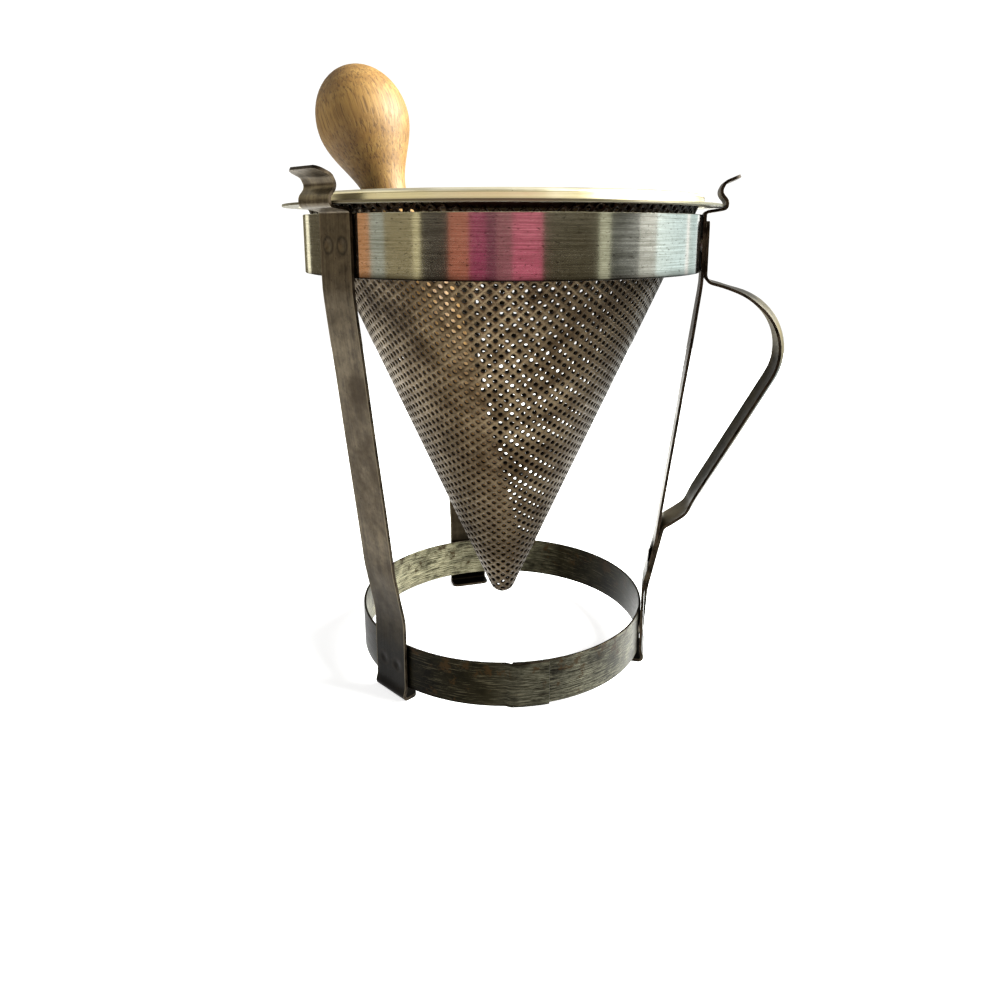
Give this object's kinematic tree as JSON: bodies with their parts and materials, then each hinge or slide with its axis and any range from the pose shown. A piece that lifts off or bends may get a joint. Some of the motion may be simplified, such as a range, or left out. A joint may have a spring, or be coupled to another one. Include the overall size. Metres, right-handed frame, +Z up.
{
  "type": "cone food mill",
  "caption": "Perforated cone sieve hung by its rim in a strap-metal stand with a side handle, and a turned wooden pestle that is swept round inside the cone.",
  "frame": {"origin": "on the floor under the common axis of the base ring, the cup band and the cone", "axes": "+Z up along the cone's axis, +X from the axis toward the leg that carries the handle"},
  "size_m": [0.2119, 0.1836, 0.2672],
  "materials": {
    "ring_steel": "darkened tinned steel, scratched",
    "band_steel": "brushed, worn tin plate",
    "leg_steel": "dull stained tin plate",
    "handle_steel": "dull stained tin plate",
    "weld_metal": "as welded",
    "sieve_aluminium": "stained punched aluminium sheet",
    "rim_aluminium": "satin aluminium",
    "pestle_wood": "bare turned hardwood"
  },
  "bodies": {
    "stand": {"base_ring": "ring_steel", "cup_band": "band_steel", "leg_handle": "leg_steel", "leg_back": "leg_steel", "leg_front": "leg_steel", "handle": "handle_steel", "welds_ring": "weld_metal", "welds_band": "weld_metal", "welds_handle": "weld_metal", "welds_laps": "weld_metal"},
    "cone": {"cone_sieve": "sieve_aluminium", "cone_rim": "rim_aluminium"},
    "pestle": {"pestle": "pestle_wood"}
  },
  "joints": [
    {"name": "cone_lift", "type": "slide", "parent": "stand", "child": "cone", "axis": [0, 0, 1], "range_m": [0, 0.19]},
    {"name": "pestle_sweep", "type": "hinge", "parent": "cone", "child": "pestle", "pos_m": [0, 0, 0.045], "axis": [0, 0, 1], "continuous": true}
  ]
}
